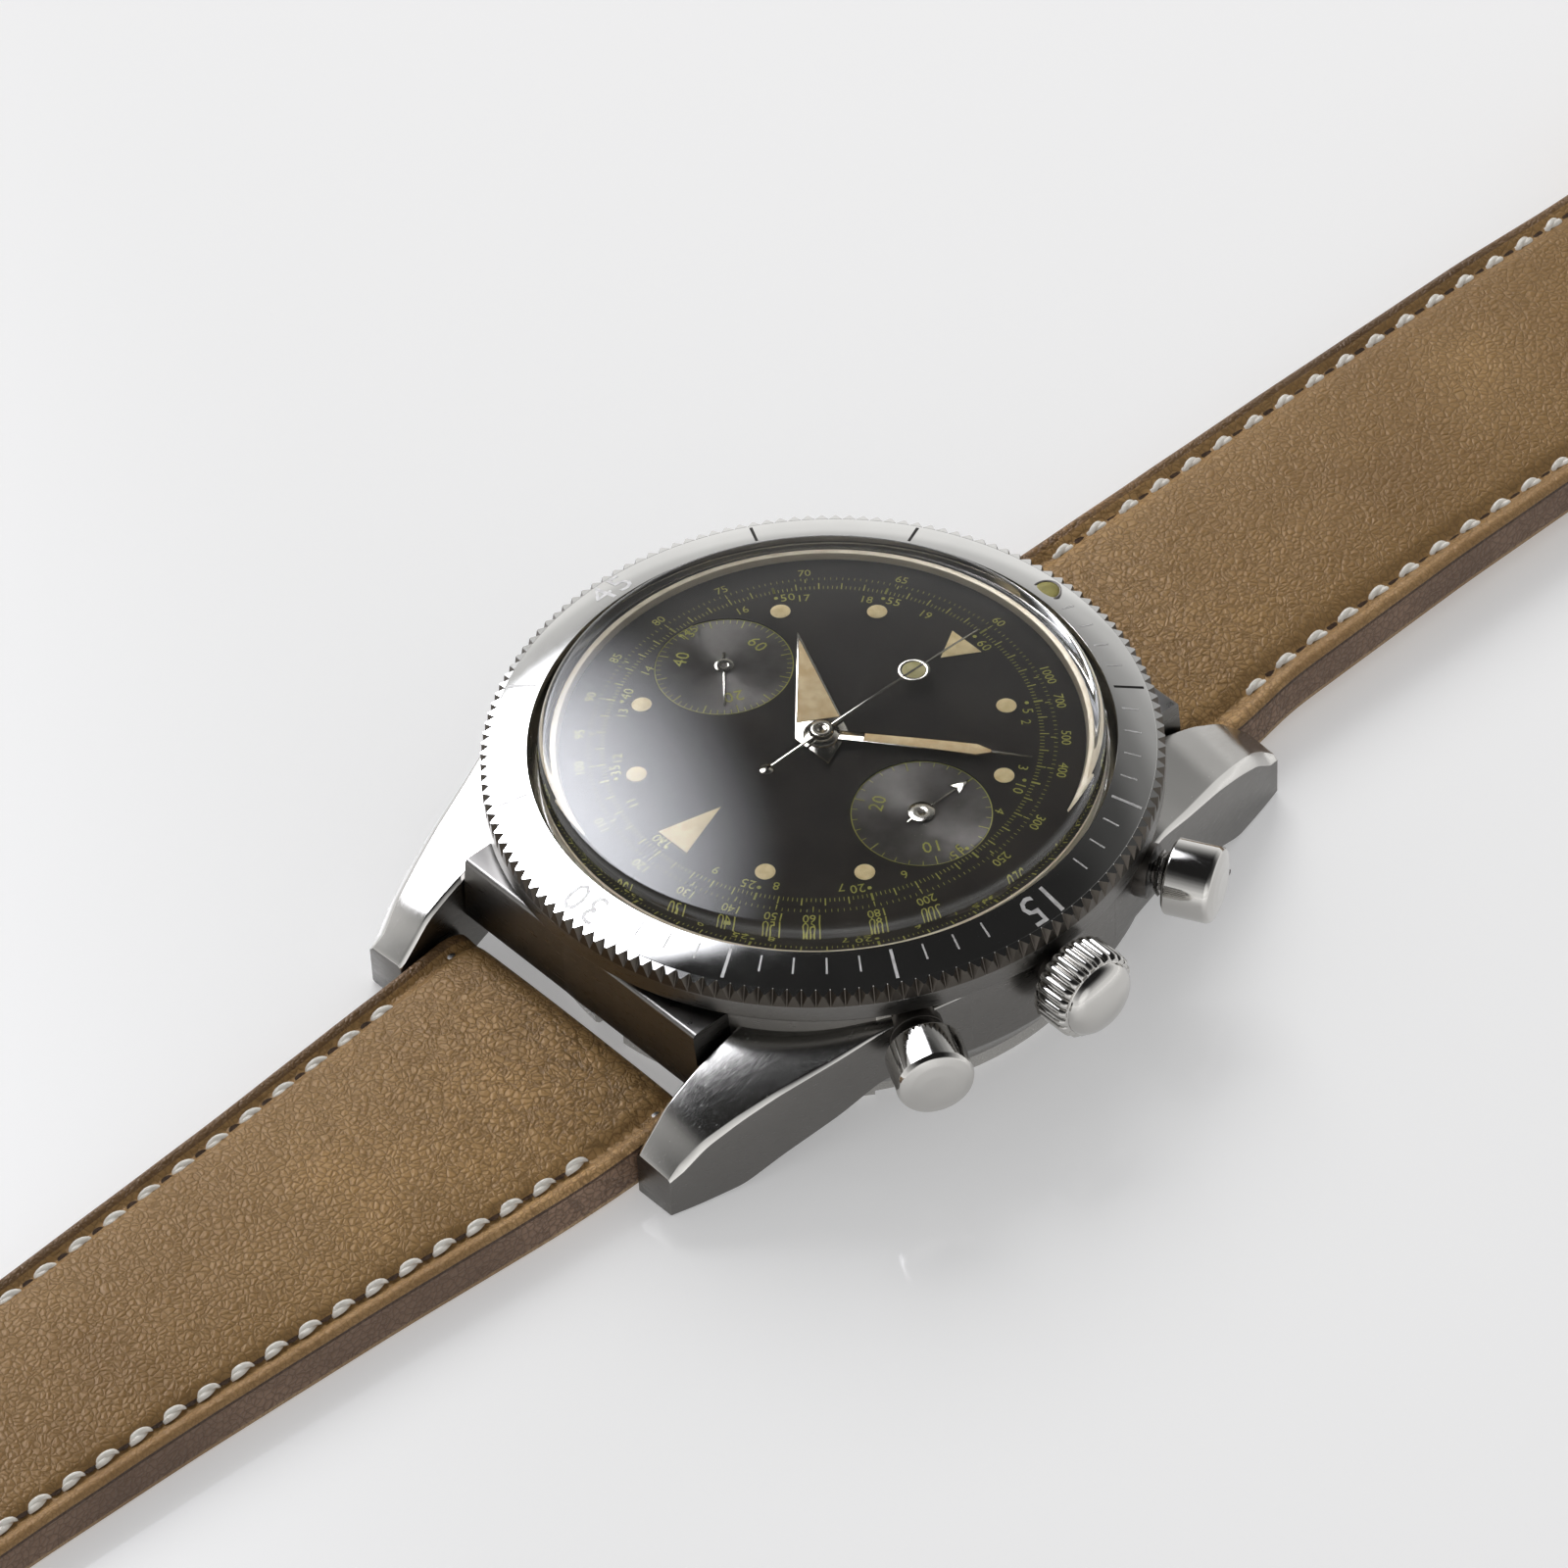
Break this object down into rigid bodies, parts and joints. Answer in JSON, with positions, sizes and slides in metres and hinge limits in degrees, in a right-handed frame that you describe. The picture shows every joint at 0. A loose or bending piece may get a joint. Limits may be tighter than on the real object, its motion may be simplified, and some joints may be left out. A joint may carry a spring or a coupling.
{
  "type": "chronograph wristwatch",
  "caption": "Hand-wound chronograph wristwatch with a notched turning bezel, domed crystal, crown, pushers, geared movement and a padded leather strap with a pin buckle.",
  "frame": {"origin": "centre of the case back's flat underside", "axes": "+Z out through the dial, +Y towards 12 o'clock, +X towards the crown"},
  "size_m": [0.043, 0.24, 0.0139],
  "materials": {
    "steel": "brushed, slightly worn",
    "polished_steel": "polished",
    "brass": "gilt",
    "nickel_plated_brass": "nickel plated, matt",
    "champagne_ring": "satin, warm",
    "dial_black": "matt, aged black",
    "lume": "aged luminous paste",
    "crystal": "clear acrylic",
    "rubber": "matt black",
    "leather": "waxed tan calf with a painted dark edge"
  },
  "bodies": {
    "case": {"mid_case": "steel", "case_back": "steel", "case_back_gasket": "rubber", "spring_bar_12": "steel", "spring_bar_6": "steel", "bezel_click_spring": "steel", "crystal": "crystal", "rehaut_ring": "champagne_ring", "crown_tube": "steel", "pusher_tube_start": "steel", "pusher_tube_reset": "steel", "pusher_spring_start": "steel", "pusher_spring_reset": "steel", "dial": "dial_black", "movement_ring": "nickel_plated_brass", "main_plate": "nickel_plated_brass", "barrel_bridge": "nickel_plated_brass", "train_bridge": "nickel_plated_brass", "balance_cock": "nickel_plated_brass", "hairspring": "steel", "chrono_bridge": "nickel_plated_brass"},
    "bezel": {"bezel": "steel", "bezel_pip": "lume"},
    "sliding_pinion": {"sliding_pinion": "steel"},
    "crown": {"crown": "steel", "winding_stem": "steel"},
    "winding_pinion": {"winding_pinion": "steel"},
    "crown_wheel": {"crown_wheel": "steel"},
    "ratchet_wheel": {"ratchet_wheel": "steel"},
    "click": {"click": "steel"},
    "seconds": {"fourth_wheel": "brass", "running_seconds_hand": "polished_steel"},
    "third_wheel": {"third_wheel": "brass"},
    "center_wheel": {"center_wheel": "brass"},
    "barrel": {"barrel": "brass"},
    "escape_wheel": {"escape_wheel": "steel"},
    "pallet_fork": {"pallet_fork": "steel"},
    "balance": {"balance_wheel": "brass"},
    "minutes": {"cannon_pinion": "steel", "minute_hand": "polished_steel"},
    "minute_wheel": {"minute_wheel": "brass"},
    "hours": {"hour_wheel": "brass", "hour_hand": "polished_steel"},
    "chrono_seconds": {"chrono_runner": "brass", "chrono_seconds_hand": "polished_steel"},
    "transfer_wheel": {"transfer_wheel": "brass"},
    "minute_counter": {"minute_recording_wheel": "brass", "minute_counter_hand": "polished_steel"},
    "column_wheel": {"column_wheel": "steel"},
    "pusher_start": {"pusher_start": "steel"},
    "pusher_reset": {"pusher_reset": "steel"},
    "operating_lever": {"operating_lever": "steel"},
    "reset_hammer": {"reset_hammer": "steel"},
    "strap_buckle_half": {"strap_buckle_side": "leather", "keeper_fixed": "leather"},
    "keeper_loose": {"keeper_loose": "leather"},
    "buckle": {"buckle_frame": "polished_steel", "buckle_bar": "steel"},
    "tang": {"buckle_tang": "polished_steel"},
    "strap_tail_half": {"strap_tail_side": "leather"}
  },
  "joints": [
    {"name": "bezel_turn", "type": "hinge", "parent": "case", "child": "bezel", "pos_m": [0, 0, 0.0095], "axis": [0, 0, 1], "continuous": true},
    {"name": "stem_turn", "type": "hinge", "parent": "case", "child": "sliding_pinion", "pos_m": [0.0116, 0, 0.0073], "axis": [1, 0, 0], "continuous": true},
    {"name": "crown_pull", "type": "slide", "parent": "sliding_pinion", "child": "crown", "axis": [1, 0, 0], "range_m": [0, 0.0009]},
    {"name": "winding_pinion_turn", "type": "hinge", "parent": "case", "child": "winding_pinion", "pos_m": [0.013, 0, 0.0073], "axis": [1, 0, 0], "continuous": true},
    {"name": "crown_wheel_turn", "type": "hinge", "parent": "case", "child": "crown_wheel", "pos_m": [0.0116, 0, 0.0032], "axis": [0, 0, 1], "continuous": true},
    {"name": "ratchet_turn", "type": "hinge", "parent": "case", "child": "ratchet_wheel", "pos_m": [0.00453, -0.00521, 0.0032], "axis": [0, 0, 1], "continuous": true},
    {"name": "click_turn", "type": "hinge", "parent": "case", "child": "click", "pos_m": [0.00206, -0.01197, 0.0032], "axis": [0, 0, 1], "range_deg": [0, 8]},
    {"name": "seconds_turn", "type": "hinge", "parent": "case", "child": "seconds", "pos_m": [-0.0081, 0, 0.0063], "axis": [0, 0, 1], "continuous": true},
    {"name": "third_wheel_turn", "type": "hinge", "parent": "case", "child": "third_wheel", "pos_m": [-0.00436, 0.00235, 0.0056], "axis": [0, 0, 1], "continuous": true},
    {"name": "center_wheel_turn", "type": "hinge", "parent": "case", "child": "center_wheel", "pos_m": [0, 0, 0.0046], "axis": [0, 0, 1], "continuous": true},
    {"name": "barrel_turn", "type": "hinge", "parent": "case", "child": "barrel", "pos_m": [0.00453, -0.00521, 0.0058], "axis": [0, 0, 1], "continuous": true},
    {"name": "escape_wheel_turn", "type": "hinge", "parent": "case", "child": "escape_wheel", "pos_m": [-0.00714, -0.00357, 0.0054], "axis": [0, 0, 1], "continuous": true},
    {"name": "pallet_fork_turn", "type": "hinge", "parent": "case", "child": "pallet_fork", "pos_m": [-0.00627, -0.00565, 0.0054], "axis": [0, 0, 1], "range_deg": [-5, 5]},
    {"name": "balance_turn", "type": "hinge", "parent": "case", "child": "balance", "pos_m": [-0.0049, -0.0089, 0.0049], "axis": [0, 0, 1], "range_deg": [-270, 270], "stiffness_Nm_per_rad": 0.0000001},
    {"name": "minutes_turn", "type": "hinge", "parent": "case", "child": "minutes", "pos_m": [0, 0, 0.009], "axis": [0, 0, 1], "continuous": true},
    {"name": "minute_wheel_turn", "type": "hinge", "parent": "case", "child": "minute_wheel", "pos_m": [-0.00123, 0.00338, 0.0086], "axis": [0, 0, 1], "continuous": true},
    {"name": "hours_turn", "type": "hinge", "parent": "case", "child": "hours", "pos_m": [0, 0, 0.0092], "axis": [0, 0, 1], "continuous": true},
    {"name": "chrono_seconds_turn", "type": "hinge", "parent": "case", "child": "chrono_seconds", "pos_m": [0, 0, 0.0021], "axis": [0, 0, 1], "continuous": true},
    {"name": "transfer_wheel_turn", "type": "hinge", "parent": "case", "child": "transfer_wheel", "pos_m": [0.0037, 0, 0.0024], "axis": [0, 0, 1], "continuous": true},
    {"name": "minute_counter_turn", "type": "hinge", "parent": "case", "child": "minute_counter", "pos_m": [0.0081, 0, 0.0024], "axis": [0, 0, 1], "continuous": true},
    {"name": "column_wheel_turn", "type": "hinge", "parent": "case", "child": "column_wheel", "pos_m": [0.0026, 0.0097, 0.0022], "axis": [0, 0, 1], "continuous": true},
    {"name": "start_push", "type": "slide", "parent": "case", "child": "pusher_start", "axis": [-0.8862, -0.4633, 0], "range_m": [0, 0.001], "stiffness_N_per_m": 2500},
    {"name": "reset_push", "type": "slide", "parent": "case", "child": "pusher_reset", "axis": [-0.8862, 0.4633, 0], "range_m": [0, 0.001], "stiffness_N_per_m": 2500},
    {"name": "operating_lever_turn", "type": "hinge", "parent": "case", "child": "operating_lever", "pos_m": [0.0086, 0.0106, 0.0017], "axis": [0, 0, 1], "range_deg": [-12, 0]},
    {"name": "reset_hammer_turn", "type": "hinge", "parent": "case", "child": "reset_hammer", "pos_m": [0.0072, -0.0112, 0.0017], "axis": [0, 0, 1], "range_deg": [0, 10]},
    {"name": "strap_buckle_half_fold", "type": "hinge", "parent": "case", "child": "strap_buckle_half", "pos_m": [0, 0.0211, 0.0025], "axis": [1, 0, 0], "range_deg": [-85, 70]},
    {"name": "keeper_slide", "type": "slide", "parent": "strap_buckle_half", "child": "keeper_loose", "axis": [0, 1, 0], "range_m": [-0.0275, 0.001]},
    {"name": "buckle_swing", "type": "hinge", "parent": "strap_buckle_half", "child": "buckle", "pos_m": [0, 0.0941, 0.00255], "axis": [1, 0, 0], "range_deg": [-45, 45]},
    {"name": "tang_swing", "type": "hinge", "parent": "buckle", "child": "tang", "pos_m": [0, 0.0941, 0.00255], "axis": [1, 0, 0], "range_deg": [0, 60]},
    {"name": "strap_tail_half_fold", "type": "hinge", "parent": "case", "child": "strap_tail_half", "pos_m": [0, -0.0211, 0.0025], "axis": [-1, 0, 0], "range_deg": [-85, 70]}
  ],
  "couplings": [
    {"joint": "winding_pinion_turn", "follows": "stem_turn", "ratio": 1},
    {"joint": "crown_wheel_turn", "follows": "stem_turn", "ratio": 0.64286},
    {"joint": "ratchet_turn", "follows": "stem_turn", "ratio": -0.32143},
    {"joint": "third_wheel_turn", "follows": "seconds_turn", "ratio": -0.13333},
    {"joint": "center_wheel_turn", "follows": "seconds_turn", "ratio": 0.016667},
    {"joint": "barrel_turn", "follows": "seconds_turn", "ratio": -0.003125},
    {"joint": "escape_wheel_turn", "follows": "seconds_turn", "ratio": -8},
    {"joint": "minute_wheel_turn", "follows": "minutes_turn", "ratio": -0.33333},
    {"joint": "hours_turn", "follows": "minutes_turn", "ratio": 0.083333},
    {"joint": "transfer_wheel_turn", "follows": "chrono_seconds_turn", "ratio": -0.04},
    {"joint": "minute_counter_turn", "follows": "chrono_seconds_turn", "ratio": 0.033333},
    {"joint": "operating_lever_turn", "follows": "start_push", "rad_per_m": -190},
    {"joint": "reset_hammer_turn", "follows": "reset_push", "rad_per_m": 156}
  ]
}
